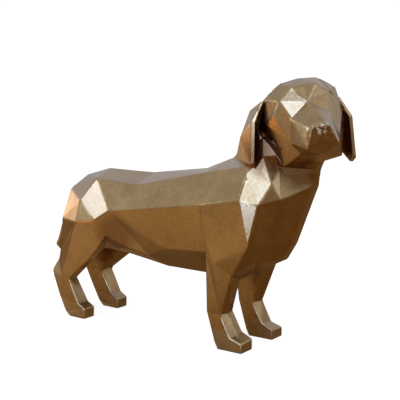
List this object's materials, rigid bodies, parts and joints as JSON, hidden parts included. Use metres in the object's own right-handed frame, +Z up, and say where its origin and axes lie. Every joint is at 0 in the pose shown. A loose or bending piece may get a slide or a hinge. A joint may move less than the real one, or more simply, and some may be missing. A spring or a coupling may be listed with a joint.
{
  "type": "geometric dog ornament",
  "caption": "Standing long-bodied dog figure with drop ears, a hanging tail and its head turned to one side, all in flat facets, cast in one piece.",
  "frame": {"origin": "on the ground under the paws, at the middle of the whole figure's outline", "axes": "+X the way the body faces, +Y its left, +Z up"},
  "size_m": [0.3123, 0.0878, 0.2167],
  "materials": {
    "bronze_lacquer": "polished bronze-gold metallic coat over the casting"
  },
  "bodies": {
    "root": {"dog": "bronze_lacquer"}
  },
  "joints": []
}
